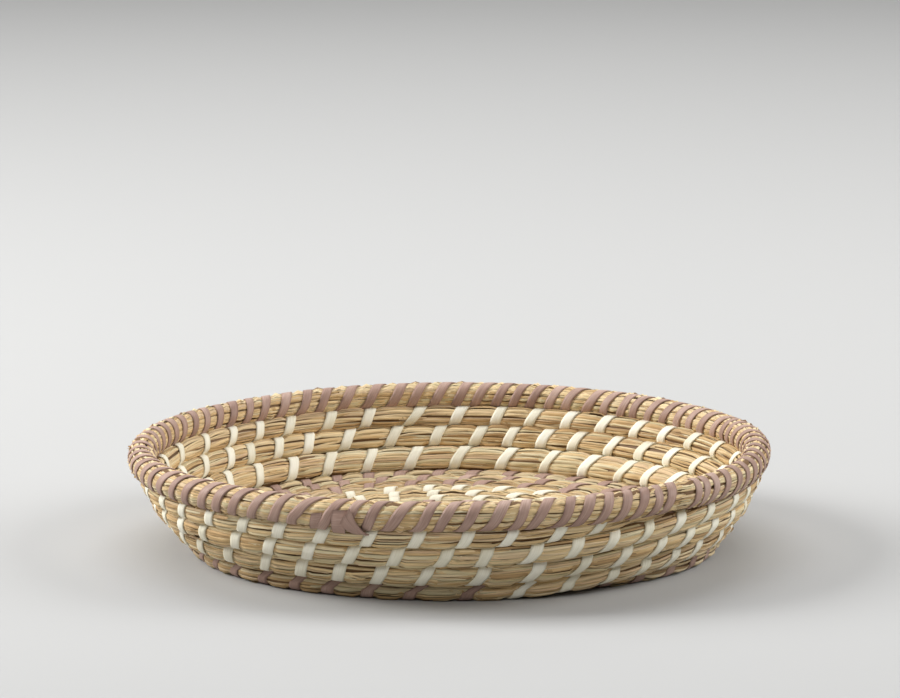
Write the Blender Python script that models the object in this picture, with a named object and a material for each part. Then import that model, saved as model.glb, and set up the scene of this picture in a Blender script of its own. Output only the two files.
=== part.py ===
"""A coiled grass basket: one bundle of grass wound from the centre of the floor up to the rim,
sewn row to row with flat strips and lashed twice over at the rim.

Frame: metres, +Z up, origin on the table under the middle of the basket, the front at -Y.
A row is counted from the rim (0) inwards: rows 0 to 4 are the wall and its foot, the rest the floor.
A turn is counted from the centre outwards. The bundle winds counter-clockwise seen from above, and
each turn steps out by one row within a short sector at the front right.
"""

import math

import bmesh
import bpy
import numpy as np

# Driving sizes
RIM_OUTER_DIAMETER = 0.330
WALL_ROW_PITCH = 0.0123
FIRST_ROW_RADIUS = 0.01265  # of the middle of the bundle on the innermost full row
ROW_GAP = 0.0022  # between the bundle's neighbouring rows, where the strips pass
BUNDLE_HALF_THICKNESS = 0.0054  # through the wall or the floor
STRIP_THICKNESS = 0.00045
STRIP_WIDTH = 0.0060  # along the bundle
STRIP_PINCHED_WIDTH = 0.0030  # where it passes between two rows
STRIP_CLEARANCE = 0.00045
FLOOR_STITCH_PITCH = 0.0220

# Angles in degrees
FOOT_LEAN = 48.0  # of the wall from the table, at its foot
RIM_LEAN = 68.0
STEP_START = 4.0  # measured from the front, towards the right
STEP_SECTOR = 64.0  # in which a wall row steps out to the next
COLOUR_CHANGE = 20.0  # where one strip gives way to the next
LAST_WHITE_STITCH = 36.0
FIRST_RIM_LASHING = 40.0
LAST_RIM_LASHING = 30.0
TAPER_SECTOR = 46.0  # over which the bundle's end thins out
FRONT = -90.0  # the front's direction, from +X

# Counts
FOOT_ROW = 4
CENTRE_ROW = 13  # the innermost full row
RING_POINTS = 24  # on one turn of the bundle
WALL_STITCHES = 42.5  # on one turn of a wall row
PATH_SAMPLES = 20  # between two rings, where stitches are counted out
STITCH_GAP_SHARE = 0.35  # of a stitch, from one strip's end to the start of the next

# Shares
CORNER_SHARES = ((-1, 0), (-0.5, 1), (0.5, 1), (1, 0), (0.5, -1), (-0.5, -1))
RIM_BUNDLE_SHARE = 1.12  # the rim's bundle, of a wall row's
TAPER_END_SHARE = 0.18
STEP_WIDENING_SHARE = 1.1  # of a floor row's step, of the step of the row outside it

# The knot that the bundle starts from
KNOT_HEIGHT = 0.0112
KNOT_EDGE_ROUND = 0.0022
KNOT_CLEARANCE = 0.0004

# The tucked end of a rim strip, seen at the front left
TUCK_MIDDLE = -22.5  # degrees from the front
TUCK_LENGTH = 0.019
TUCK_THICKNESS = 0.0006
TUCK_LIFT = 0.00035  # over the lashing below it

# Colours are linear values
COLOURS = {
    "grass": (0.47, 0.34, 0.17),
    "white_strip": (0.76, 0.70, 0.55),
    "mauve_strip": (0.35, 0.22, 0.20),
}
ROUGHNESSES = {"grass": 0.75, "white_strip": 0.7, "mauve_strip": 0.55}

LASHING_LIFT = STRIP_CLEARANCE + STRIP_THICKNESS
CORNERS = len(CORNER_SHARES)


def smooth(share):
    share = min(max(share, 0.0), 1.0)
    return share * share * (3 - 2 * share)


def bundle_half_width(row):
    """Half the bundle's size towards its neighbours, which leaves the row gap between them."""
    pitch = WALL_ROW_PITCH
    if row > FOOT_ROW:
        pitch += (floor_row_pitch - WALL_ROW_PITCH) * smooth(row - FOOT_ROW)
    return (pitch - ROW_GAP) / 2


def section_corner(corner, lift, row, scale):
    """A corner of the bundle's six-sided section with its sides moved out by lift: (across, through)."""
    across_share, through_share = CORNER_SHARES[corner]
    half_width = bundle_half_width(row) * scale
    half_thickness = BUNDLE_HALF_THICKNESS * scale
    slope = math.hypot(half_width / 2, half_thickness)
    side_lift = lift * slope / half_thickness
    if through_share == 0:
        return across_share * (half_width + side_lift), 0.0
    across = half_width / 2 + side_lift - lift * half_width / 2 / half_thickness
    return math.copysign(across, across_share), through_share * (half_thickness + lift)


def rim_section_reach(direction, lift):
    """How far the rim's lifted section reaches in a direction given as (across, through)."""
    corners = [section_corner(corner, lift, 0, RIM_BUNDLE_SHARE) for corner in range(CORNERS)]
    return max(across * direction[0] + through * direction[1] for across, through in corners)


foot_lean = math.radians(FOOT_LEAN)
rim_lean = math.radians(RIM_LEAN)
rim_row_extra = (RIM_BUNDLE_SHARE - 1) * bundle_half_width(0)
wall_length = FOOT_ROW * WALL_ROW_PITCH + rim_row_extra
wall_bend = (rim_lean - foot_lean) / wall_length
rim_reach = rim_section_reach((math.cos(rim_lean), math.sin(rim_lean)), LASHING_LIFT)
rim_radius = RIM_OUTER_DIAMETER / 2 - rim_reach
foot_radius = rim_radius - (math.sin(rim_lean) - math.sin(foot_lean)) / wall_bend
floor_row_pitch = (foot_radius - FIRST_ROW_RADIUS) / (CENTRE_ROW - FOOT_ROW)
floor_height = BUNDLE_HALF_THICKNESS + LASHING_LIFT


def wall_distance(row):
    return (FOOT_ROW - row) * WALL_ROW_PITCH + max(1 - row, 0) * rim_row_extra


def row_centre(row):
    """(radius, height) of the middle of the bundle on this row."""
    if row >= FOOT_ROW:
        return foot_radius - (row - FOOT_ROW) * floor_row_pitch, floor_height
    lean = foot_lean + wall_bend * wall_distance(row)
    radius = foot_radius + (math.sin(lean) - math.sin(foot_lean)) / wall_bend
    height = floor_height + (math.cos(foot_lean) - math.cos(lean)) / wall_bend
    return radius, height


def row_lean(row):
    """The section's tilt: it lies flat on the floor and leans with the wall."""
    leaned = foot_lean + wall_bend * wall_distance(min(row, FOOT_ROW - 1))
    return leaned * smooth(FOOT_ROW - row)


def step_share(start_row):
    """The share of a turn in which the bundle leaves this row for the next one out."""
    widening = STEP_WIDENING_SHARE ** max(start_row - FOOT_ROW - 1, 0)
    return STEP_SECTOR / 360 * widening


def row_at(turn):
    """The row that the bundle is on after this many turns, the last of which stays on the rim."""
    whole = math.floor(turn)
    start_row = CENTRE_ROW + 1 - whole
    if start_row <= 0:
        return 0.0
    return start_row - smooth((turn - whole) / step_share(start_row))


def turn_at(whole, degrees_from_front):
    return whole + (degrees_from_front - STEP_START) / 360


RIM_TURN = CENTRE_ROW + 1
COIL_START = step_share(CENTRE_ROW + 1)  # where the innermost row is reached
COIL_END = turn_at(RIM_TURN, STEP_START + TAPER_SECTOR)


def bundle_scale(turn):
    if turn > RIM_TURN:
        done = (turn - RIM_TURN) / (COIL_END - RIM_TURN)
        return RIM_BUNDLE_SHARE + (TAPER_END_SHARE - RIM_BUNDLE_SHARE) * done
    return 1 + (RIM_BUNDLE_SHARE - 1) * max(1 - row_at(turn), 0)


def profile_place(turn):
    """(radius, height) of the bundle's middle; past a full turn on the rim it lies on the turn below."""
    radius, height = row_centre(row_at(turn))
    if turn <= RIM_TURN:
        return radius, height
    below = row_at(turn - 1)
    radius, height = row_centre(below)
    direction = (row_lean(below) + rim_lean) / 2
    half_widths = bundle_half_width(below) * bundle_scale(turn - 1) + bundle_half_width(0) * bundle_scale(turn)
    rise = half_widths + ROW_GAP
    return radius + rise * math.cos(direction), height + rise * math.sin(direction)


def frame_at(turn):
    """The bundle's middle and the directions across it (to the next row out) and through it (outwards)."""
    radius, height = profile_place(turn)
    lean = row_lean(row_at(turn))
    angle = math.radians(FRONT + STEP_START) + turn * math.tau
    outwards = np.array((math.cos(angle), math.sin(angle), 0.0))
    upwards = np.array((0.0, 0.0, 1.0))
    across = outwards * math.cos(lean) + upwards * math.sin(lean)
    through = outwards * math.sin(lean) - upwards * math.cos(lean)
    return outwards * radius + upwards * height, across, through


def ring_point(turn, corner, lift):
    middle, across, through = frame_at(turn)
    offset = section_corner(corner, lift, row_at(turn), bundle_scale(turn))
    return middle + across * offset[0] + through * offset[1]


def surface_point(turn, corner, lift):
    """The same point on the straight run between the two rings beside it."""
    before = math.floor(turn * RING_POINTS) / RING_POINTS
    after = before + 1 / RING_POINTS
    share = (turn - before) * RING_POINTS
    return ring_point(before, corner, lift) * (1 - share) + ring_point(after, corner, lift) * share


def material(name):
    made = bpy.data.materials.get(name) or bpy.data.materials.new(name)
    made.use_nodes = True
    shader = made.node_tree.nodes["Principled BSDF"]
    shader.inputs["Base Color"].default_value = (*COLOURS[name], 1)
    shader.inputs["Roughness"].default_value = ROUGHNESSES[name]
    shader.inputs["Metallic"].default_value = 0
    made.diffuse_color = (*COLOURS[name], 1)
    return made


def bulging_halves(side, middle):
    """A four-cornered side as two triangles, split along the diagonal that lies further from the middle."""
    first, second, third, fourth = (np.array(corner.co) for corner in side)
    normal = np.cross(third - first, fourth - second)
    if normal @ ((first + second + third + fourth) / 4 - middle) < 0:
        normal = -normal
    if normal @ (first + third - second - fourth) > 0:
        return (side[0], side[1], side[2]), (side[0], side[2], side[3])
    return (side[1], side[2], side[3]), (side[1], side[3], side[0])


def swept_solid(name, rings, material_name, is_strip=False):
    """A closed tube through rings of points. A strip's twisted sides are split so that they don't sink in."""
    mesh = bmesh.new()
    loops = [[mesh.verts.new(point) for point in ring] for ring in rings]
    sides = len(loops[0])
    for first, second in zip(loops, loops[1:]):
        middle = sum(np.array(corner.co) for corner in first + second) / (2 * sides)
        for side in range(sides):
            after = (side + 1) % sides
            corners = (first[side], first[after], second[after], second[side])
            for face in bulging_halves(corners, middle) if is_strip else [corners]:
                mesh.faces.new(face)
    mesh.faces.new(loops[0])
    mesh.faces.new(loops[-1])
    bmesh.ops.recalc_face_normals(mesh, faces=mesh.faces)
    data = bpy.data.meshes.new(name)
    mesh.to_mesh(data)
    mesh.free()
    data.materials.append(material(material_name))
    solid = bpy.data.objects.new(name, data)
    bpy.context.scene.collection.objects.link(solid)
    return solid


def ring_turns(start, end):
    """The turns of the rings from start to end, with one at each and the even rings between them."""
    first = math.floor(start * RING_POINTS) + 1
    last = math.ceil(end * RING_POINTS) - 1
    return [start] + [count / RING_POINTS for count in range(first, last + 1)] + [end]


def bundle_section(name, start, end):
    rings = [
        [surface_point(turn, corner, 0.0) for corner in range(CORNERS)]
        for turn in ring_turns(start, end)
    ]
    return swept_solid(name, rings, "grass")


def stitches_per_turn(row):
    if row <= FOOT_ROW:
        return WALL_STITCHES
    return math.tau * row_centre(row)[0] / FLOOR_STITCH_PITCH


path_turns = np.linspace(COIL_START, COIL_END, round((COIL_END - COIL_START) * RING_POINTS * PATH_SAMPLES))
path_rates = np.array([stitches_per_turn(row_at(turn)) for turn in path_turns])
path_steps = (path_rates[1:] + path_rates[:-1]) / 2 * np.diff(path_turns)
path_stitches = np.concatenate(([0.0], np.cumsum(path_steps)))


def strip_ring(turn, corner):
    """The strip's flat outer side, as wide as it is there, and a keel towards the bundle."""
    at_gap = CORNER_SHARES[corner][1] == 0
    width = STRIP_PINCHED_WIDTH if at_gap else STRIP_WIDTH
    middle = surface_point(turn, corner, LASHING_LIFT)
    radius = max(row_centre(row_at(turn))[0], math.hypot(middle[0], middle[1]))
    half = width / 2 / radius / math.tau
    return (
        surface_point(turn - half, corner, LASHING_LIFT),
        surface_point(turn + half, corner, LASHING_LIFT),
        surface_point(turn, corner, STRIP_CLEARANCE),
    )


def strip(name, start, end, material_name, phase_share=0.0):
    """A strip wound round the bundle: up the outside, over the top and down the inside."""
    first, last = np.interp((start, end), path_turns, path_stitches)
    first += STITCH_GAP_SHARE - phase_share
    corners = range(math.ceil(first * CORNERS), math.floor((last - phase_share) * CORNERS) + 1)
    rings = []
    for count in corners:
        turn = np.interp(count / CORNERS + phase_share, path_stitches, path_turns)
        rings.append(strip_ring(turn, count % CORNERS))
    return swept_solid(name, rings, material_name, is_strip=True)


def stitched_rows(name, rows, material_name):
    """One strip for each row, from the colour change before it to the one after it."""
    for number, row in enumerate(rows, start=1):
        start = max(turn_at(CENTRE_ROW - row, COLOUR_CHANGE), COIL_START)
        end = turn_at(RIM_TURN - row, COLOUR_CHANGE)
        if row == 1:
            end = turn_at(CENTRE_ROW, LAST_WHITE_STITCH)
        strip(f"{name}_{number}", start, end, material_name)


def knot_outline(inset):
    """(turn, radius) round the knot, which fills the middle up to the first row and the bundle's start."""
    clearance = bundle_half_width(CENTRE_ROW) + LASHING_LIFT + KNOT_CLEARANCE + inset
    first_row_radius = row_centre(CENTRE_ROW)[0]
    places = []
    for count in range(RING_POINTS):
        turn = count / RING_POINTS
        beside_start = turn + 1 / RING_POINTS < COIL_START
        second_row_radius = row_centre(row_at(turn + 1))[0]
        places.append((turn, (second_row_radius if beside_start else first_row_radius) - clearance))
    return places


def start_knot():
    """The tight knot that the bundle starts from, flat underneath and rounded on top."""
    shoulder = KNOT_HEIGHT - KNOT_EDGE_ROUND
    levels = ((KNOT_EDGE_ROUND, 0.0), (0.0, KNOT_EDGE_ROUND), (0.0, shoulder), (KNOT_EDGE_ROUND, KNOT_HEIGHT))
    rings = []
    for inset, height in levels:
        ring = []
        for turn, radius in knot_outline(inset):
            angle = math.radians(FRONT + STEP_START) + turn * math.tau
            ring.append((radius * math.cos(angle), radius * math.sin(angle), height))
        rings.append(ring)
    return swept_solid("start_knot", rings, "grass")


def tucked_end():
    """The folded end of a rim strip, lying on the lashing at the outside of the rim."""
    middle = turn_at(RIM_TURN, TUCK_MIDDLE)
    half = TUCK_LENGTH / 2 / rim_radius / math.tau
    below = LASHING_LIFT + TUCK_LIFT
    above = below + TUCK_THICKNESS
    lower, upper = CORNER_SHARES.index((-0.5, 1)), CORNER_SHARES.index((0.5, 1))
    rings = []
    for turn in ring_turns(middle - half, middle + half):
        rings.append(
            (
                surface_point(turn, lower, below),
                surface_point(turn, upper, below),
                surface_point(turn, upper, above),
                surface_point(turn, lower, above),
            )
        )
    return swept_solid("rim_strip_tuck", rings, "mauve_strip")


def tube_points(start, end):
    """Points spread over the bundle's surface, for measuring."""
    turns = np.arange(start, end, 1 / RING_POINTS / 4)
    points = []
    for turn in turns:
        ring = [surface_point(turn, corner, 0.0) for corner in range(CORNERS)]
        for corner, point in enumerate(ring):
            after = ring[(corner + 1) % CORNERS]
            points += [point, (point + after) / 2]
    return np.array(points)


def least_gap_between_turns():
    least = math.inf
    for whole in range(RIM_TURN):
        inner = tube_points(max(whole, COIL_START), whole + 1)
        outer = tube_points(whole + 1, min(whole + 2, COIL_END))
        # The two turns join, so points near the join are compared from a quarter turn on.
        for start, end in ((0.0, 0.5), (0.5, 1.0)):
            first = inner[int(len(inner) * start) : int(len(inner) * end)]
            second = outer[int(len(outer) * start) : int(len(outer) * end)]
            gaps = np.linalg.norm(first[:, None] - second[None], axis=2)
            least = min(least, float(gaps.min()))
    return least


def clear_scene():
    for old in list(bpy.data.objects):
        bpy.data.objects.remove(old)


def build():
    clear_scene()
    joint_gap = STRIP_CLEARANCE / foot_radius / math.tau
    wall_start = CENTRE_ROW + 1 - FOOT_ROW
    rim_start = turn_at(CENTRE_ROW, STEP_START + STEP_SECTOR)
    start_knot()
    bundle_section("floor_coil", COIL_START, wall_start - joint_gap)
    bundle_section("wall_coil_1", wall_start, wall_start + 1 - joint_gap)
    bundle_section("wall_coil_2", wall_start + 1, wall_start + 2 - joint_gap)
    bundle_section("wall_coil_3", wall_start + 2, rim_start - joint_gap)
    bundle_section("rim_coil", rim_start, COIL_END)
    stitched_rows("centre_mauve_stitching", (13, 12, 11, 10), "mauve_strip")
    stitched_rows("floor_white_stitching", (9, 8, 7), "white_strip")
    stitched_rows("base_mauve_stitching", (6, 5, 4), "mauve_strip")
    stitched_rows("wall_white_stitching", (3, 2, 1), "white_strip")
    lashing_start = turn_at(CENTRE_ROW, FIRST_RIM_LASHING)
    lashing_end = turn_at(RIM_TURN, LAST_RIM_LASHING)
    for number, phase_share in enumerate((0.0, 0.5), start=1):
        strip(f"rim_lashing_{number}", lashing_start, lashing_end, "mauve_strip", phase_share)
    tucked_end()
    print(f"least gap between two turns of the bundle: {least_gap_between_turns() * 1000:.2f} mm")


build()
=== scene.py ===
"""A coiled grass basket: one bundle of straw wound from the middle of the floor up to the rim, sewn row
to row with pale and mauve palm strips and lashed twice over at the rim.

Metres, +Z up, the front at -Y. A row is counted from the rim (0) inwards, a turn from the centre
outwards. A place on the bundle is a turn and a share of the way round it: 0 is where it meets the row
below, 0.25 the outside, 0.5 where the next row lies on it and 0.75 the inside.
"""

import math

import bpy
import numpy as np
from mathutils import Euler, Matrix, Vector


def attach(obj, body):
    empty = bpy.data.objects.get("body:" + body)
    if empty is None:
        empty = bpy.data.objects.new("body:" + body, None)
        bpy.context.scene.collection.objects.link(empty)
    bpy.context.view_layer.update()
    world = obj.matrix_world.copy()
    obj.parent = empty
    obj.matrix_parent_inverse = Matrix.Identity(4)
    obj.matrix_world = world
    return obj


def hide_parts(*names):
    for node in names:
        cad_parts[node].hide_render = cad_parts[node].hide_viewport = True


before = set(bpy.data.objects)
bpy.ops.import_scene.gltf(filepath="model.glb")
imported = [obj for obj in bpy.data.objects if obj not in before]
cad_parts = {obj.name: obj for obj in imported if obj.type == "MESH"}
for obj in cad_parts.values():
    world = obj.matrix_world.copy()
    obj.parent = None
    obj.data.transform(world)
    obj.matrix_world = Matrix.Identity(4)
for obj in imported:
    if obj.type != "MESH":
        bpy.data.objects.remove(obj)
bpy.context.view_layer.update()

# The way of the bundle, as the solids have it
FOOT_ROW, CENTRE_ROW, RIM_TURN = 4, 13, 14
WALL_ROW_PITCH = 0.0123
FIRST_ROW_RADIUS = 0.01265
FOOT_RADIUS = 0.1310246
FLOOR_ROW_PITCH = (FOOT_RADIUS - FIRST_ROW_RADIUS) / (CENTRE_ROW - FOOT_ROW)
FLOOR_HEIGHT = 0.0063
RIM_EXTRA = 0.000606
FOOT_LEAN, RIM_LEAN = math.radians(48), math.radians(68)
WALL_BEND = (RIM_LEAN - FOOT_LEAN) / (FOOT_ROW * WALL_ROW_PITCH + RIM_EXTRA)
START_DIRECTION = math.radians(-86)
STEP_START, STEP_SECTOR = 4.0, 64.0
STEP_WIDENING = 1.1
COIL_START = STEP_SECTOR / 360 * STEP_WIDENING**9

# How the real rows depart from that way
BULGE_OUT, BULGE_UP, BULGE_ROWS = 0.0025, 0.0012, 1.2
RIM_OUT, RIM_DOWN = 0.0007, 0.0007
BASE_SHIFT, RIM_SHIFT = 0.0012, -0.0006
RIM_TILT = 0.0009
ROUND_WAVE, ROW_WAVE = 0.0003, 0.0003
RIM_HEIGHT = 0.0483

# The bundle's section
WALL_HALF_WIDTH, FLOOR_HALF_WIDTH = 0.0063, 0.0067
MEAN_HALF_SIZE = 0.0062
RIM_RADIUS, WALL_RADIUS = 0.158, 0.13  # about, for lengths along them
LEAST_RADIUS, LEAST_STITCHED_RADIUS = 0.010, 0.012
PRESSED_WIDTH = 0.512  # of the distance between two rows
HALF_THICKNESS = 0.0060
RIM_SWELL = 0.18
PINCH, PUFF = 0.08, 0.022
ROW_FLATNESS, RIM_FLATNESS = 2.7, 2.15  # 2 is an ellipse; the rows press each other flatter
# From a strip's middle: up to where it holds the straws flat, and from where they are free
HELD_REACH, FREE_REACH = 0.0026, 0.0062
HELD_LIFT = -0.00035
START_SHARE = 0.28  # the bundle's size where it starts, of its full size
KNOT_HOLE = 0.0015

# The last wall row climbs into the rim and thins there. The rim is drawn as one ring past a full turn.
CLIMB_IN, CLIMB_THINNING = 0.0020, 0.35
RING_OVERLAP = 1.0

# Stitches
WALL_STITCHES = 42.54
FLOOR_STITCH_PITCH = 0.0220
STITCH_JITTER, MOST_JITTER = 0.085, 0.2
FACE_LEAN, CREVICE_REACH = 0.28, 0.05
SLANT_WIDENING = 1.1
STRIP_WIDTH, STRIP_PINCHED = 0.0058, 0.0056
LASHING_WIDTH = 0.0051
COLOUR_CHANGE, LAST_WHITE, RIM_JOIN = 20.0, 40.0, 45.3
BARE_STRETCH = 0.0095

# Where the real stitches lie: the turn, the share of a stitch that is done there (0.25 on the outside,
# 0.75 on the inside), the step from one to the next, and the degrees of each from the front
FOUND_STITCHES = (
    (10, 0.25, 1.0, (-28.2, -19.4, -10.5, 1.6, 12.2, 23.2, 33.1, 41.3, 49.5, 57.2, 67.3)),
    (10, 0.75, 1.0, (
        108.9, 121.2, 130.0, 137.1, 147.7, 157.4, 167.6, 178.5, 188.6, 198.6, 208.8, 218.4, 228.7, 239.6,
    )),
    (11, 0.25, 1.0, (
        -61.1, -51.0, -40.2, -31.1, -22.8, -14.7, -5.8, 5.3, 15.9, 25.7, 34.3, 42.5, 50.2, 58.5, 66.6,
    )),
    (11, 0.75, 1.0, (
        104.4, 115.8, 126.3, 134.9, 142.8, 152.1, 159.7, 167.1, 174.0,
        183.0, 192.3, 202.4, 211.7, 219.9, 227.9, 234.3, 244.0, 255.7,
    )),
    (12, 0.25, 1.0, (
        -62.0, -54.2, -44.5, -36.4, -27.6, -19.1, -10.5, -1.5,
        5.6, 14.9, 23.0, 30.2, 37.8, 45.7, 54.3, 64.0,
    )),
    (12, 0.75, 1.0, (
        98.9, 111.0, 121.1, 130.1, 137.7, 146.4, 154.7, 162.6, 170.0,
        178.3, 186.9, 197.4, 205.7, 215.1, 223.0, 230.7, 240.3, 252.2, 263.4,
    )),
    (13, 0.25, 1.0, (-66.6, -58.5, -49.5, -40.6, -32.4, -23.7, -14.9, -6.2, 2.5, 10.2, 19.4, 27.4)),
    (14, 0.25, 0.5, (48.0, 50.2, 53.0, 56.6, 61.3, 65.0)),
    (14, 0.75, 0.5, (
        139.4, 142.1, 146.4, 149.9, 155.2, 158.8, 162.5, 166.1, 169.7, 173.8,
        177.6, 182.0, 186.6, 190.8, 195.9, 201.1, 206.1, 210.3, 215.4, 220.1,
    )),
    (15, 0.25, 0.5, (
        -67.5, -63.1, -58.1, -53.7, -48.7, -44.7, -40.6, -36.2, -31.4, -28.0, -21.4, -17.4, -13.9, -9.7,
        -4.8, -1.5, 3.1, 7.5, 11.7, 14.8, 19.8, 23.3, 27.3, 31.1, 34.6, 38.4, 40.8,
    )),
)

SEED = 11


def smooth(share):
    share = np.clip(share, 0.0, 1.0)
    return share * share * (3 - 2 * share)


def blend(first, second, share):
    return first + (second - first) * share


def waves(places, seed, slow, fast):
    """A smooth unevenness between about -1 and 1, which repeats after each turn."""
    chance = np.random.default_rng(seed)
    total = np.zeros_like(places)
    for rate in range(slow, fast + 1):
        height = chance.normal()
        total += height * np.sin(math.tau * (rate * places + chance.uniform())) / math.sqrt(fast - slow + 1)
    return total


def turn_at(whole, degrees):
    return whole + (degrees - STEP_START) / 360


def step_span(start_row):
    return STEP_SECTOR / 360 * STEP_WIDENING ** np.maximum(start_row - FOOT_ROW - 1, 0)


def row_at(turn):
    whole = np.floor(turn)
    start_row = CENTRE_ROW + 1 - whole
    return np.maximum(start_row - smooth((turn - whole) / step_span(start_row)), 0)


def lean_at(row):
    distance = (FOOT_ROW - row) * WALL_ROW_PITCH + np.maximum(1 - row, 0) * RIM_EXTRA
    return FOOT_LEAN + WALL_BEND * distance


def row_profile(row):
    """(radius, height) of the middle of the bundle on a row."""
    lean = lean_at(np.minimum(row, FOOT_ROW))
    radius = FOOT_RADIUS + (np.sin(lean) - math.sin(FOOT_LEAN)) / WALL_BEND
    height = FLOOR_HEIGHT + (math.cos(FOOT_LEAN) - np.cos(lean)) / WALL_BEND
    bulge = np.exp(-(((row - 2) / BULGE_ROWS) ** 2)) * (row < FOOT_ROW) * smooth((FOOT_ROW - row) * 2)
    radius = radius - np.maximum(row - FOOT_ROW, 0) * FLOOR_ROW_PITCH
    rim = smooth(1 - row)
    return radius + BULGE_OUT * bulge + RIM_OUT * rim, height + BULGE_UP * bulge - RIM_DOWN * rim


def radius_at(turn):
    return row_profile(row_at(turn))[0]


def climb_share(turn):
    """How far the bundle has climbed from the last wall row into the rim."""
    return np.where(turn < RIM_TURN, 1 - np.minimum(row_at(turn), 1), 0.0)


def half_width(row):
    """Half of the bundle's width on a row: wide enough to press on the rows beside it."""
    inner, outer = row_profile(np.maximum(row, 0.9) + 0.5), row_profile(np.maximum(row, 0.9) - 0.5)
    apart = np.hypot(outer[0] - inner[0], outer[1] - inner[1])
    return np.where(row < 0.9, WALL_HALF_WIDTH, apart * PRESSED_WIDTH)


def swell(turn):
    """The bundle's size there, of a wall row's."""
    rim = np.where(turn >= RIM_TURN, 1 + RIM_SWELL, 1 - CLIMB_THINNING * climb_share(turn))
    grown = blend(START_SHARE, 1.0, smooth((turn + 0.75) / 1.05))
    return np.where(turn > COIL_START + 1, rim, np.minimum(rim, grown))


def profile(turn):
    """(radius, height) of the bundle's middle after this many turns."""
    radius, height = row_profile(row_at(turn))
    climbing = climb_share(turn)
    radius = radius - CLIMB_IN * 4 * climbing * (1 - climbing)
    # The start is curled up inside the first row.
    inside = radius_at(turn + 1) - FLOOR_HALF_WIDTH
    curled = np.maximum(inside - FLOOR_HALF_WIDTH * swell(turn), KNOT_HOLE)
    early = smooth((COIL_START + 0.02 - turn) / 0.1)
    return blend(radius, curled, early), height


def bundle(turn):
    """The bundle's middle and the directions across it, to the next row out, and through it, outwards."""
    radius, height = profile(turn)
    row = row_at(turn)
    lean = lean_at(np.minimum(row, FOOT_ROW - 1)) * smooth(FOOT_ROW - row)
    angle = START_DIRECTION + turn * math.tau
    rise = np.clip((height - FLOOR_HEIGHT) / (RIM_HEIGHT - FLOOR_HEIGHT), 0, 1.2)
    uneven = ROUND_WAVE * waves(turn, 3, 2, 4) * (0.4 + rise)
    uneven = uneven + ROW_WAVE * waves(turn * 0.5 + 0.07 * row, 4, 5, 13)
    radius = radius + uneven * smooth(radius / 0.05)
    flat = np.zeros_like(turn)
    outwards = np.stack((np.cos(angle), np.sin(angle), flat), axis=-1)
    upwards = np.array((0.0, 0.0, 1.0))
    across = outwards * np.cos(lean)[..., None] + upwards * np.sin(lean)[..., None]
    through = outwards * np.sin(lean)[..., None] - upwards * np.cos(lean)[..., None]
    height = height + rise * (RIM_TILT * np.cos(angle) + ROW_WAVE * waves(turn, 8, 3, 9))
    middle = outwards * radius[..., None] + upwards * height[..., None]
    middle[..., 0] += blend(BASE_SHIFT, RIM_SHIFT, rise)
    return middle, across, through


def lashed(turn):
    """1 where the rim's two lashings hold the bundle, 0 where one strip sews it."""
    return (turn >= RIM_TURN).astype(float)


def make_stitch_places():
    """Where each stitch starts along the bundle, unevenly, as a hand sets them."""
    chance = np.random.default_rng(SEED)
    turns = np.linspace(-0.8, RIM_TURN + 1.5, 30000)
    radius = np.maximum(radius_at(turns), LEAST_STITCHED_RADIUS)
    rates = np.where(row_at(turns) <= FOOT_ROW + 0.5, WALL_STITCHES, math.tau * radius / FLOOR_STITCH_PITCH)
    counts = np.concatenate(([0.0], np.cumsum((rates[1:] + rates[:-1]) / 2 * np.diff(turns))))
    numbers = np.arange(int(counts[-1]))
    uneven = np.clip(chance.normal(0, STITCH_JITTER, len(numbers)), -MOST_JITTER, MOST_JITTER)
    places = np.sort(np.interp(np.clip(numbers + uneven, 0, None), counts, turns))
    # The stitches between two found ones keep their even steps, stretched to fit.
    found_turns, shifts = [], [0.0]
    for whole, share, step, degrees in FOUND_STITCHES:
        found = turn_at(whole, np.array(degrees))
        usual = np.interp(found, places, numbers)
        first = np.round((usual[0] + shifts[-1] - share) / step) * step + share
        shifts.extend(first + step * np.arange(len(found)) - usual)
        found_turns.extend(found)
    turns = np.sort(np.concatenate((places, found_turns)))
    counts = np.interp(turns, places, numbers) + np.interp(turns, found_turns, shifts[1:])
    return np.maximum.accumulate(counts + np.arange(len(counts)) * 1e-7), turns


stitch_numbers, stitch_turns = make_stitch_places()


def count_at(turn):
    return np.interp(turn, stitch_turns, stitch_numbers)


def turn_of(count):
    return np.interp(count, stitch_numbers, stitch_turns)


def wrap_share(place, is_lashing):
    """The share of a stitch that is done at a place: straight up each face, and the rest between the rows."""
    half = np.floor(place * 2)
    inside = place - half / 2
    tucked = smooth(inside / CREVICE_REACH) + smooth((inside - 0.5 + CREVICE_REACH) / CREVICE_REACH)
    up_the_face = (1 - np.cos(inside * math.tau)) / 2
    sewn = half / 2 + tucked * (0.5 - FACE_LEAN) / 2 + up_the_face * FACE_LEAN
    return np.where(is_lashing > 0, place, sewn)


wrap_places = np.linspace(0, 1, 401)


def place_of(share, is_lashing):
    whole = np.floor(share)
    table = wrap_share(wrap_places, np.full_like(wrap_places, float(is_lashing)))
    return whole + np.interp(share - whole, table, wrap_places)


def held_at(turn, place):
    """How far the nearest strip holds the straws down: 1 under it, 0 away from it."""
    holds = lashed(turn)
    # The start of the rim's ring lies in its end, under the lashings there.
    turn = turn + ((turn >= RIM_TURN) & (turn < turn_at(RIM_TURN, RIM_JOIN)))
    strips = 1 + holds
    phase = (count_at(turn) - wrap_share(place, holds)) * strips
    pitch = math.tau * np.maximum(radius_at(turn), LEAST_STITCHED_RADIUS)
    pitch = np.minimum(pitch / WALL_STITCHES, FLOOR_STITCH_PITCH) / strips
    away = (phase - np.floor(phase + 0.5)) * pitch
    return smooth((FREE_REACH - np.abs(away)) / (FREE_REACH - HELD_REACH))


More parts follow.
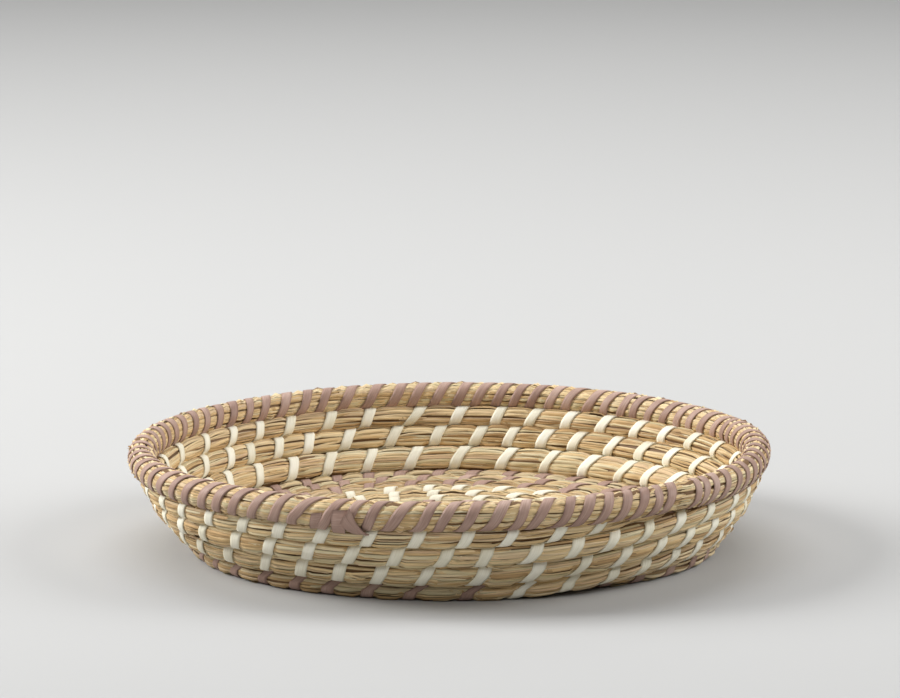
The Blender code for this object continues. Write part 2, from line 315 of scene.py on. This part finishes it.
def section(turn, place, press):
    """(across, through) of the bundle's surface from its middle, and which way it faces there."""
    scale = swell(turn) * (1 + PUFF - PINCH * press)
    halves = np.stack((half_width(row_at(turn)) * scale, HALF_THICKNESS * scale), axis=-1)
    flatness = np.where(turn >= RIM_TURN, RIM_FLATNESS, ROW_FLATNESS)[..., None]
    angle = place * math.tau
    toward = np.stack((-np.cos(angle), np.sin(angle)), axis=-1)
    reach = np.sum(np.abs(toward / halves) ** flatness, axis=-1, keepdims=True) ** (-1 / flatness)
    facing = np.sign(toward) * np.abs(toward / halves) ** (flatness - 1) / halves
    return toward * reach, facing / np.linalg.norm(facing, axis=-1, keepdims=True)


def surface(turn, place, lift, press=None):
    """Points at a lift over the bundle's surface, with the straws held flat under the strips."""
    pressed = held_at(turn, place) if press is None else press
    if press is None:
        lift = lift + (np.minimum(lift, HELD_LIFT) - lift) * smooth(pressed * 1.4)
    middle, across, through = bundle(turn)
    spot, toward = section(turn, place, pressed)
    spot = spot + toward * np.asarray(lift)[..., None]
    return middle + across * spot[..., :1] + through * spot[..., 1:]


def mesh_piece(name, points, faces, material, attributes, nodes):
    """A mesh from arrays, riding on the basket in place of the solids that it stands for."""
    data = bpy.data.meshes.new(name)
    data.vertices.add(len(points))
    data.vertices.foreach_set("co", points.astype(np.float32).ravel())
    corners = faces.shape[1]
    data.loops.add(faces.size)
    data.loops.foreach_set("vertex_index", faces.astype(np.int32).ravel())
    data.polygons.add(len(faces))
    data.polygons.foreach_set("loop_start", np.arange(0, faces.size, corners, dtype=np.int32))
    for label, values in attributes.items():
        kind = "FLOAT_VECTOR" if values.ndim == 2 else "FLOAT"
        layer = data.attributes.new(label, kind, "POINT")
        layer.data.foreach_set("vector" if values.ndim == 2 else "value", values.astype(np.float32).ravel())
    data.update(calc_edges=True)
    data.validate()
    data.polygons.foreach_set("use_smooth", np.ones(len(data.polygons), dtype=bool))
    data.materials.append(material)
    piece = bpy.data.objects.new(name, data)
    bpy.context.scene.collection.objects.link(piece)
    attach(piece, "root")
    if nodes:
        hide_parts(*nodes)
    return piece


def grid_faces(rows, columns, closed=False):
    """Faces between the points of a grid, row by row."""
    index = np.arange(rows * columns).reshape(rows, columns)
    after = np.roll(index, -1, axis=1) if closed else index[:, 1:]
    index = index if closed else index[:, :-1]
    return np.stack((index[:-1], after[:-1], after[1:], index[1:]), axis=-1).reshape(-1, 4)


# One straw: its points across, how far each stands up, and its usual sizes
STRAW_ACROSS = np.array((-0.5, -0.2, 0.2, 0.5))
STRAW_ARCH = np.array((-0.00042, 0.00008, 0.00008, -0.00042))
STRAW_STEP = 0.0026
STRAW_LENGTHS, STRAW_WIDTHS = (0.05, 0.21), (0.0008, 0.0026)
FEWEST_STEPS = 4
NEXT_STRAW_BACK = (0.004, 0.02)  # from one straw's end to the next one's start
RUN_ON, RIM_RUN_ON = 0.024, 0.006  # past the joint with the next piece
TIP_LENGTH, TIP_SHARE, TIP_DROP, DROPPED_TIPS = 0.014, 0.30, 0.0005, 0.7
LANE_SHIFT = 0.4
STRAW_WANDER, WANDER_LENGTHS, STRAW_DRIFT = 0.0005, (0.012, 0.03), 0.0032
STRAW_LIFTS, RIPPLE, RIPPLE_LENGTH = (-0.0006, 0.0005), 0.00020, 0.009
STRAW_TILT = 0.0006
STRAY_SHARE, STRAY_LIFTS, STRAY_LENGTHS, STRAY_DRIFT = 0.10, (0.0006, 0.0028), (0.008, 0.02), 0.0012
CORE_LIFT, CREVICE_LIFT = -0.0008, 0.0009  # the filling's surface, and its edges where two rows meet
CORE_SIDES, CORE_STEP, CORE_END_DROP = 12, 0.004, 0.0012
FILLING = -1.0  # the shade that marks it


def straws(start, end, lanes, seed, step=STRAW_STEP):
    """Long flat straws side by side round the bundle, each with its own width, wander and tone."""
    chance = np.random.default_rng(seed)
    turns, places, lifts, blades, shades, faces = [], [], [], [], [], []
    total = 0
    for lane in range(lanes):
        at, last = start, end
        # Straws run on past a joint, each by its own length, so that it can't be seen.
        if start > COIL_START:
            run_on = RIM_RUN_ON if start > RIM_TURN else RUN_ON
            at -= chance.uniform(0, run_on) / (math.tau * float(radius_at(np.array(start))))
        if end < RIM_TURN:
            last += chance.uniform(0, RUN_ON) / (math.tau * float(radius_at(np.array(end))))
        while at < last:
            radius = max(float(radius_at(np.array(at))), LEAST_RADIUS)
            scale = float(swell(np.array(at)))
            length = chance.uniform(*STRAW_LENGTHS)
            finish = min(at + length / (math.tau * radius), last)
            length = (finish - at) * math.tau * radius
            steps = max(int(length / step), FEWEST_STEPS)
            way = np.linspace(at, finish, steps)
            along = (way - at) * math.tau * radius
            tip = np.clip(np.minimum(along, length - along) / TIP_LENGTH, 0, 1)
            width = chance.uniform(*STRAW_WIDTHS) * (TIP_SHARE + (1 - TIP_SHARE) * tip**0.7)
            width = width * (0.35 + 0.65 * scale)
            round_size = math.tau * MEAN_HALF_SIZE * scale
            waviness = chance.uniform(*WANDER_LENGTHS)
            wander = STRAW_WANDER * np.sin(along / waviness + chance.uniform(0, math.tau))
            drift = chance.normal(0, STRAW_DRIFT) * (along / length - 0.5)
            middle = (lane + chance.uniform(-LANE_SHIFT, LANE_SHIFT)) / lanes + (wander + drift) / round_size
            lift = chance.uniform(*STRAW_LIFTS) + RIPPLE * np.sin(along / RIPPLE_LENGTH + chance.uniform(0, 6))
            if chance.uniform() < STRAY_SHARE:
                free = np.clip(1 - (length - along) / chance.uniform(*STRAY_LENGTHS), 0, 1)
                lift = lift + chance.uniform(*STRAY_LIFTS) * free**1.6
                middle = middle + chance.normal(0, STRAY_DRIFT) * free / round_size
            lift = lift - TIP_DROP * (1 - tip) * (chance.uniform() < DROPPED_TIPS)
            tilt = chance.uniform(-STRAW_TILT, STRAW_TILT)
            turns.append(np.repeat(way, len(STRAW_ACROSS)))
            places.append((middle[:, None] + STRAW_ACROSS * width[:, None] / round_size).ravel())
            arch = STRAW_ARCH * (0.4 + 0.6 * width[:, None] / 0.002)
            lifts.append((np.broadcast_to(lift, way.shape)[:, None] + arch + tilt * STRAW_ACROSS).ravel())
            blade = np.empty((steps, len(STRAW_ACROSS), 3))
            blade[:, :, 0], blade[:, :, 1], blade[:, :, 2] = along[:, None], STRAW_ACROSS * 2, chance.uniform()
            blades.append(blade.reshape(-1, 3))
            shades.append(np.full(steps * len(STRAW_ACROSS), chance.uniform()))
            faces.append(grid_faces(steps, len(STRAW_ACROSS)) + total)
            total += steps * len(STRAW_ACROSS)
            back = chance.uniform(*NEXT_STRAW_BACK) if finish < last else 0
            at = finish - back / (math.tau * radius)
    return [np.concatenate(group) for group in (turns, places, lifts, blades, shades, faces)]


def straw_piece(name, start, end, lanes, seed, nodes, material, step=STRAW_STEP):
    """A length of the bundle: its straws over a filling coloured dark as painted shade, which only shows
    between them.
    """
    turns, places, lifts, blades, shades, faces = straws(start, end, lanes, seed, step)
    rings = max(int((end - start) * math.tau * WALL_RADIUS / CORE_STEP), 12)
    core_turns = np.repeat(np.linspace(start, end, rings), CORE_SIDES)
    core_places = np.tile(np.arange(CORE_SIDES) / CORE_SIDES, rings)
    core_faces = grid_faces(rings, CORE_SIDES, closed=True) + len(turns)
    between_rows = (core_places * 2 % 1 == 0) & (np.abs(row_at(core_turns) - FOOT_ROW) > 0.95)
    core_lift = np.where(between_rows, CREVICE_LIFT, CORE_LIFT)
    core_lift[:CORE_SIDES] -= CORE_END_DROP
    core_lift[-CORE_SIDES:] -= CORE_END_DROP
    points = surface(
        np.concatenate((turns, core_turns)),
        np.concatenate((places, core_places)),
        np.concatenate((lifts, core_lift)),
    )
    points[:, 2] = np.maximum(points[:, 2], 0.0001)
    attributes = {
        "blade": np.concatenate((blades, np.zeros((len(core_turns), 3)))),
        "shade": np.concatenate((shades, np.full(len(core_turns), FILLING))),
    }
    faces = np.concatenate((faces, core_faces))
    return mesh_piece(name, points, faces, material, attributes, nodes)


STRIP_ACROSS = np.array((-0.5, -0.28, 0.0, 0.28, 0.5, 0.46, -0.46))
STRIP_LIFTS = np.array((0.00012, 0.00026, 0.00028, 0.00026, 0.00012, -0.00036, -0.00036))
STRIP_SAMPLES = 30  # along one stitch
WIDTH_SPREAD, SHIFT_SPREAD = 0.07, 0.00035
CREVICE_SPREAD, LASHING_PINCH = 0.055, 0.12
STRIP_BOW, STRIP_RIPPLE = 0.0002, 0.00008
TAB_EDGE, TAB_RISE = -22.2, 0.0011  # where one lashing passes over the folded end's tab
TAB_REACH, TAB_PLACE = 1.6, 0.2


def over_the_tab(turn, place):
    """1 where a lashing lies on the folded end's tab, 0 away from it."""
    away = (turn - turn_at(RIM_TURN + 1, TAB_EDGE)) * 360
    up_the_face = smooth((0.42 - np.abs(place - np.floor(place) - TAB_PLACE) * 2) / 0.2)
    return np.exp(-((away / TAB_REACH) ** 4)) * up_the_face


def strip_piece(name, first, last, width, material, nodes, seed, is_lashing=False, phase=0.0):
    """A flat strip wound round the bundle: up the outside, over the top and down the inside."""
    chance = np.random.default_rng(seed)
    counts = np.arange(math.floor(first * STRIP_SAMPLES), math.ceil(last * STRIP_SAMPLES) + 1)
    counts = counts / STRIP_SAMPLES
    place = place_of(counts, is_lashing)
    turn = turn_of(counts + phase)
    radius = np.maximum(radius_at(turn), LEAST_RADIUS)
    round_size = math.tau * MEAN_HALF_SIZE * swell(turn)
    ahead = np.gradient(turn) * math.tau * radius
    around = np.gradient(place) * round_size
    length = np.hypot(ahead, around)
    knots = np.arange(math.floor(counts[0]) - 1, math.ceil(counts[-1]) + 2, 0.5)
    own_width = np.interp(counts, knots, chance.normal(1.0, WIDTH_SPREAD, len(knots)).clip(0.8, 1.2))
    own_shift = np.interp(counts, knots, chance.normal(0, SHIFT_SPREAD, len(knots)))
    own_shade = np.interp(counts, knots, chance.uniform(0, 1, len(knots)))
    # A strip sinks in where the rows meet: below, and above too unless it is on the rim.
    meets = 1 if is_lashing else 2
    crevice = np.exp(-(((place * meets - np.round(place * meets)) / (CREVICE_SPREAD * meets)) ** 2))
    pinch = LASHING_PINCH if is_lashing else 1 - STRIP_PINCHED / STRIP_WIDTH
    ends = np.minimum(counts - counts[0], counts[-1] - counts)
    wide = width * own_width * (1 - pinch * crevice) * np.clip(0.35 + ends / 0.25, 0, 1)
    offset = STRIP_ACROSS[None] * wide[:, None]
    if is_lashing:
        twist = offset * (around / length)[:, None] + own_shift[:, None]
        places = place[:, None] - offset * (ahead / length / round_size)[:, None]
    else:
        twist = offset * SLANT_WIDENING + own_shift[:, None]
        places = np.broadcast_to(place[:, None], offset.shape)
    turns = turn[:, None] + twist / (math.tau * radius)[:, None]
    lifts = STRIP_LIFTS[None] + STRIP_BOW * (1 - crevice)[:, None] - STRIP_BOW * crevice[:, None]
    lifts = lifts + STRIP_RIPPLE * np.sin(counts * 23 + seed)[:, None] * (1 - crevice)[:, None]
    if is_lashing:
        lifts = lifts + TAB_RISE * over_the_tab(turns, places)
    lifts = np.broadcast_to(lifts, turns.shape)
    points = surface(turns, places, lifts, press=np.ones_like(turns)).reshape(-1, 3)
    points[:, 2] = np.maximum(points[:, 2], 0.0)
    sides = len(STRIP_ACROSS)
    along = np.concatenate(([0.0], np.cumsum(length)[:-1]))
    blade = np.empty((len(counts), sides, 3))
    blade[:, :, 0], blade[:, :, 1], blade[:, :, 2] = along[:, None], STRIP_ACROSS * 2, (seed % 7) / 7
    attributes = {"blade": blade.reshape(-1, 3), "shade": np.repeat(own_shade, sides)}
    faces = grid_faces(len(counts), sides, closed=True)
    return mesh_piece(name, points, faces, material, attributes, nodes)


class Wire:
    """An output socket. Sums, differences and products of it put in the Math nodes for them."""

    def __init__(self, finish, socket):
        self.finish, self.socket = finish, socket

    def math(self, operation, first, second=0.5):
        return self.finish.add("ShaderNodeMath", {"operation": operation}, {0: first, 1: second})

    def __add__(self, other):
        return self.math("ADD", self, other)

    def __sub__(self, other):
        return self.math("SUBTRACT", self, other)

    def __rsub__(self, other):
        return self.math("SUBTRACT", other, self)

    def __mul__(self, other):
        return self.math("MULTIPLY", self, other)

    def __pow__(self, other):
        return self.math("POWER", self, other)

    def __abs__(self):
        return self.math("ABSOLUTE", self)

    __radd__, __rmul__ = __add__, __mul__


class Finish:
    """A material under way. add() puts in a node and gives back its output."""

    def __init__(self, name, **constants):
        self.material = bpy.data.materials.new(name)
        self.material.use_nodes = True
        self.tree = self.material.node_tree
        self.shader = self.tree.nodes["Principled BSDF"]
        for label, value in constants.items():
            self.shader.inputs[label.replace("_", " ")].default_value = value

    def plug(self, socket, value):
        if isinstance(value, Wire):
            self.tree.links.new(value.socket, socket)
        else:
            socket.default_value = value

    def add(self, kind, settings=None, sockets=None, output=0):
        node = self.tree.nodes.new(kind)
        for label, value in (settings or {}).items():
            if label == "stops":
                ramp = node.color_ramp.elements
                while len(ramp) < len(value):
                    ramp.new(0.5)
                for stop, (position, colour) in zip(ramp, value):
                    stop.position, stop.color = position, (*colour, 1)
            else:
                setattr(node, label, value)
        for label, value in (sockets or {}).items():
            self.plug(node.inputs[label], value)
        return Wire(self, node.outputs[output])

    def feed(self, **inputs):
        for label, value in inputs.items():
            self.plug(self.shader.inputs[label.replace("_", " ")], value)
        return self.material

    def mix(self, share, first, second, kind="MIX"):
        """Two colours mixed. The colour sockets of the node are 6 and 7, its colour output 2."""
        settings = {"data_type": "RGBA", "blend_type": kind}
        return self.add("ShaderNodeMix", settings, {0: share, 6: first, 7: second}, 2)

    def read(self, name):
        node = self.tree.nodes.new("ShaderNodeAttribute")
        node.attribute_name = name
        return node

    def across(self):
        """How far across a blade, from -1 at one edge to 1 at the other."""
        blade = Wire(self, self.read("blade").outputs["Vector"])
        return self.add("ShaderNodeSeparateXYZ", None, {0: blade}, 1)

    def fibres(self, along_size, across_count, detail=2.0):
        """Unevenness drawn out along a blade, between 0 and 1."""
        blade = Wire(self, self.read("blade").outputs["Vector"])
        scale = (1 / along_size, across_count, 37.0)
        stretched = self.add("ShaderNodeVectorMath", {"operation": "MULTIPLY"}, {0: blade, 1: scale})
        sockets = {"Vector": stretched, "Scale": 1.0, "Detail": detail, "Roughness": 0.55}
        return self.add("ShaderNodeTexNoise", None, sockets)


def colour(red, green, blue):
    """A linear colour from the screen's 0 to 255."""
    return tuple(((value / 255 + 0.055) / 1.055) ** 2.4 for value in (red, green, blue))


STRAW_COLOURS = (
    (0.00, colour(156, 125, 88)),
    (0.14, colour(204, 170, 121)),
    (0.34, colour(223, 194, 145)),
    (0.50, colour(234, 211, 167)),
    (0.64, colour(211, 181, 144)),
    (0.76, colour(242, 224, 184)),
    (0.88, colour(208, 191, 148)),
    (1.00, colour(250, 240, 208)),
)
# The filling's colour, darker than any straw: painted shade for the deep gaps between the straws
FILLING_PAINTED_SHADE_COLOUR = colour(118, 88, 56)
STRAW_RELIEF, STRIP_RELIEF = 0.0003, 0.00018
# How close to the edge the painted shade at the edges of straws and strips stays
PAINTED_EDGE_SHADE_SHARPNESS = 4.0


def straw_finish(name, painted_shade_brightness):
    """Dry straw: tan, golden, pinkish and greyish blades with fine lengthwise fibres, their edges darkened as
    painted shade, and the filling coloured dark as painted shade.
    """
    finish = Finish(name, Specular_IOR_Level=0.32, Sheen_Weight=0.0)
    shade = Wire(finish, finish.read("shade").outputs["Fac"])
    # Painted shade: each blade is darkened towards its edges, where the gaps between blades lie in shade.
    edge = abs(finish.across()) ** PAINTED_EDGE_SHADE_SHARPNESS
    patches = finish.fibres(0.045, 0.30)
    lines = finish.fibres(0.020, 1.7)
    fine = finish.fibres(0.010, 5.0, 3.0)
    tone = shade * 0.88 + patches * 0.16 - 0.02
    base = finish.add("ShaderNodeValToRGB", {"stops": STRAW_COLOURS}, {"Fac": tone})
    dark = (0.30 + lines * 0.86 + fine * 0.44 - edge * 0.42) * painted_shade_brightness
    grey = finish.add("ShaderNodeCombineColor", None, {0: dark, 1: dark * 0.98, 2: dark * 0.94})
    base = finish.mix(1.0, base, grey, "MULTIPLY")
    # Where the filling shows, its dark colour is painted shade between the straws.
    painted_shade_filling = finish.add("ShaderNodeMath", {"operation": "LESS_THAN"}, {0: shade, 1: -0.5})
    base = finish.mix(painted_shade_filling, base, (*FILLING_PAINTED_SHADE_COLOUR, 1))
    relief = {"Strength": 0.7, "Distance": STRAW_RELIEF, "Height": lines + fine * 0.5}
    bump = finish.add("ShaderNodeBump", None, relief)
    return finish.feed(Base_Color=base, Roughness=0.50 + lines * 0.18, Normal=bump)


def strip_finish(name, dark, middle, light, roughness, specular):
    """A flat palm strip with fine lines along it."""
    finish = Finish(name, Specular_IOR_Level=specular)
    shade = Wire(finish, finish.read("shade").outputs["Fac"])
    # Painted shade: the strip's tone is darkened towards its edges.
    edge = abs(finish.across()) ** PAINTED_EDGE_SHADE_SHARPNESS
    lines = finish.fibres(0.016, 9.0, 3.0)
    patches = finish.fibres(0.012, 0.5)
    tone = lines * 0.55 + patches * 0.30 + shade * 0.25 - edge * 0.12
    stops = ((0.25, dark), (0.55, middle), (0.85, light))
    base = finish.add("ShaderNodeValToRGB", {"stops": stops}, {"Fac": tone})
    bump = finish.add("ShaderNodeBump", None, {"Strength": 0.5, "Distance": STRIP_RELIEF, "Height": lines})
    return finish.feed(Base_Color=base, Roughness=roughness + lines * 0.15, Normal=bump)


wall_straw = straw_finish("wall_straw", 1.0)
# The floor's straw is the wall's straw painted 16% darker: painted shade for the floor, which gets less light.
floor_straw = straw_finish("floor_straw", 0.84)
pale_strip = strip_finish(
    "pale_palm_strip", colour(218, 210, 182), colour(243, 238, 218), colour(253, 251, 240), 0.48, 0.35,
)
# The floor's pale strips are the wall's pale strips painted darker: painted shade for the floor, which gets
# less light.
floor_pale_strip_in_painted_shade = strip_finish(
    "floor_pale_strip_in_painted_shade", colour(200, 192, 166), colour(225, 218, 198), colour(236, 231, 218), 0.52, 0.25,
)
mauve_strip = strip_finish(
    "mauve_palm_strip", colour(134, 105, 93), colour(168, 138, 124), colour(202, 175, 161), 0.45, 0.32,
)

# The bundle, from the middle of the floor to its end along the rim. The floor's turns are in three pieces.
wall_start = CENTRE_ROW + 1 - FOOT_ROW
rim_start = turn_at(CENTRE_ROW, STEP_START + STEP_SECTOR)
straw_piece("start_knot_straw", -0.72, COIL_START, 18, 21, ("start_knot",), floor_straw, 0.0012)
straw_piece("floor_straw_inner", COIL_START, 5.0, 36, 22, (), floor_straw)
straw_piece("floor_straw_middle", 5.0, 8.0, 36, 23, (), floor_straw)
straw_piece("floor_straw_outer", 8.0, wall_start, 36, 24, ("floor_coil",), floor_straw)
straw_piece("wall_straw_1", wall_start, wall_start + 1, 44, 25, ("wall_coil_1",), wall_straw)
straw_piece("wall_straw_2", wall_start + 1, wall_start + 2, 44, 26, ("wall_coil_2",), wall_straw)
straw_piece("wall_straw_3", wall_start + 2, rim_start, 44, 27, ("wall_coil_3",), wall_straw)
ring_start, ring_end = turn_at(RIM_TURN, RIM_JOIN), turn_at(RIM_TURN + 1, RIM_JOIN)
straw_piece("rim_straw", ring_start - RING_OVERLAP / 360, ring_end, 58, 28, ("rim_coil",), wall_straw)


STRIP_START, END_GAP = 0.05, 0.03  # of a stitch
ROW_AFTER_KNOT = -0.6  # turns


def sewn_rows(label, rows, material):
    """One strip for each row, from the colour change before it to the one after it."""
    for number, row in enumerate(rows, start=1):
        start = turn_at(CENTRE_ROW - row, COLOUR_CHANGE) if row < CENTRE_ROW else ROW_AFTER_KNOT
        end = turn_at(CENTRE_ROW, LAST_WHITE) if row == 1 else turn_at(RIM_TURN - row, COLOUR_CHANGE)
        first, last = np.floor(count_at(np.array((start, end)))) + STRIP_START
        node = f"{label}_{number}"
        strip_piece(node + "_strip", first, last - END_GAP, STRIP_WIDTH, material, (node,), 40 + row)


sewn_rows("centre_mauve_stitching", (13, 12, 11, 10), mauve_strip)
sewn_rows("floor_white_stitching", (9, 8, 7), floor_pale_strip_in_painted_shade)
sewn_rows("base_mauve_stitching", (6, 5, 4), mauve_strip)
sewn_rows("wall_white_stitching", (3, 2, 1), pale_strip)
bare = BARE_STRETCH / 2 / (math.tau * RIM_RADIUS)
for number, phase in enumerate((0.0, 0.5), start=1):
    first, last = count_at(np.array((ring_start + bare, ring_end - bare)))
    strip_piece(
        f"rim_lashing_{number}_strip", first, last, LASHING_WIDTH, mauve_strip,
        (f"rim_lashing_{number}",), 60 + number, is_lashing=True, phase=phase,
    )

# The folded end of a rim strip: its tab, its upright, the corner folded over and that corner's doubled
# edge. Each has four corners, as (degrees, place, lift).
TUCK_SHEETS = (
    ((-23.9, 0.325, 0.0008), (-22.0, 0.345, 0.0003), (-22.9, 0.115, 0.0003), (-25.0, 0.105, 0.0010)),
    ((-20.1, 0.375, 0.0008), (-16.9, 0.385, 0.0010), (-18.6, 0.075, 0.0020), (-20.7, 0.07, 0.0020)),
    ((-17.5, 0.385, 0.0017), (-14.5, 0.10, 0.0018), (-16.2, 0.08, 0.0020), (-18.8, 0.245, 0.0017)),
    ((-17.0, 0.395, 0.0020), (-14.1, 0.105, 0.0021), (-14.8, 0.085, 0.0023), (-17.7, 0.34, 0.0021)),
)


SHEET_THICKNESS, SHEET_CROWN, SHEET_LENGTH = 0.0005, 0.0004, 0.012


def folded_sheet(corners, count=9):
    """A slightly domed sheet between four places on the rim, and its underside."""
    share = np.linspace(0, 1, count)
    first, second = np.meshgrid(share, share, indexing="ij")
    weights = ((1 - first) * (1 - second), first * (1 - second), first * second, (1 - first) * second)
    degrees, place, lift = (
        sum(weight * corner[kind] for weight, corner in zip(weights, corners)) for kind in range(3)
    )
    turn = turn_at(RIM_TURN + 1, degrees)
    lift = lift + SHEET_CROWN * np.sin(first * math.pi) * np.sin(second * math.pi)
    outer = surface(turn, place, lift, press=np.zeros_like(turn))
    inner = surface(turn, place, lift - SHEET_THICKNESS, press=np.zeros_like(turn))
    points = np.concatenate((outer.reshape(-1, 3), inner.reshape(-1, 3)))
    face = grid_faces(count, count)
    index = np.arange(count * count).reshape(count, count)
    edge = np.concatenate((index[0, :-1], index[:-1, -1], index[-1, :0:-1], index[:0:-1, 0]))
    after = np.roll(edge, -1)
    sides = np.stack((edge, after, after + count * count, edge + count * count), axis=-1)
    faces = np.concatenate((face, face[:, ::-1] + count * count, sides))
    blade = np.zeros((len(points), 3))
    blade[:, 0] = np.tile(first.ravel(), 2) * SHEET_LENGTH
    blade[:, 1] = np.tile(second.ravel(), 2) * 2 - 1
    return points, faces, blade


def tucked_end():
    """The folded end, as one piece of its sheets."""
    points, faces, blades, total = [], [], [], 0
    for corners in TUCK_SHEETS:
        sheet_points, sheet_faces, blade = folded_sheet(corners)
        points.append(sheet_points)
        faces.append(sheet_faces + total)
        blades.append(blade)
        total += len(sheet_points)
    attributes = {"blade": np.concatenate(blades), "shade": np.full(total, 0.5)}
    mesh_piece(
        "rim_strip_tuck_fold", np.concatenate(points), np.concatenate(faces), mauve_strip,
        attributes, ("rim_strip_tuck",),
    )


tucked_end()


def pale_floor():
    """The plain table that the basket stands on."""
    size = 14.0
    data = bpy.data.meshes.new("pale_floor")
    corners = [(-size, -size, 0), (size, -size, 0), (size, size, 0), (-size, size, 0)]
    data.from_pydata(corners, [], [(0, 1, 2, 3)])
    finish = Finish("pale_floor", Roughness=0.8, Specular_IOR_Level=0.0)
    clouds = finish.add("ShaderNodeTexNoise", None, {"Scale": 1.3, "Detail": 2.0})
    stops = ((0.3, (0.46, 0.46, 0.455)), (0.7, (0.50, 0.50, 0.495)))
    tone = finish.add("ShaderNodeValToRGB", {"stops": stops}, {"Fac": clouds})
    data.materials.append(finish.feed(Base_Color=tone))
    floor = bpy.data.objects.new("pale_floor", data)
    bpy.context.scene.collection.objects.link(floor)


def soft_light(name, place, target, size, power):
    """A soft panel of light that faces the basket."""
    lamp = bpy.data.lights.new(name, "AREA")
    lamp.shape, lamp.size, lamp.size_y, lamp.energy = "RECTANGLE", *size, power
    holder = bpy.data.objects.new(name, lamp)
    holder.location = place
    holder.rotation_euler = (Vector(target) - Vector(place)).to_track_quat("-Z", "Y").to_euler()
    bpy.context.scene.collection.objects.link(holder)


CAMERA_TARGET = Vector((-0.000435, 0.0, 0.102227))
CAMERA_DISTANCE = 3.0
CAMERA_PITCH = math.radians(10.2346)
CAMERA_LENS, SENSOR_WIDTH = 234.3, 36.0


def photograph_camera():
    """The camera at the photograph's angle, with its long lens."""
    lens = bpy.data.cameras.new("photograph_camera")
    lens.lens, lens.sensor_width, lens.clip_end = CAMERA_LENS, SENSOR_WIDTH, 40
    camera = bpy.data.objects.new("photograph_camera", lens)
    back = Vector((0, -math.cos(CAMERA_PITCH), math.sin(CAMERA_PITCH)))
    camera.location = CAMERA_TARGET + back * CAMERA_DISTANCE
    camera.rotation_euler = Euler((math.pi / 2 - CAMERA_PITCH, 0, 0))
    bpy.context.scene.collection.objects.link(camera)
    bpy.context.scene.camera = camera


pale_floor()
soft_light("window_on_the_left", (-2.2, 0.35, 1.4), (0, 0, 0.03), (1.4, 1.4), 80)
soft_light("ceiling", (-0.1, 0.9, 2.3), (0, 0, 0), (2.2, 1.6), 34)
soft_light("window_on_the_right", (2.2, 0.2, 1.3), (0, 0, 0.03), (1.4, 1.4), 44)
soft_light("room_behind", (0.0, 2.3, 1.3), (0, 0, 0.03), (2.4, 1.0), 10)
soft_light("room_in_front", (0.3, -2.6, 1.9), (0, 0, 0.03), (2.2, 1.2), 22)
world = bpy.data.worlds.new("soft_room")
world.use_nodes = True
world.node_tree.nodes["Background"].inputs["Color"].default_value = (1.0, 0.99, 0.97, 1)
world.node_tree.nodes["Background"].inputs["Strength"].default_value = 0.08
bpy.context.scene.world = world
bpy.context.scene.view_settings.view_transform = "Standard"
photograph_camera()
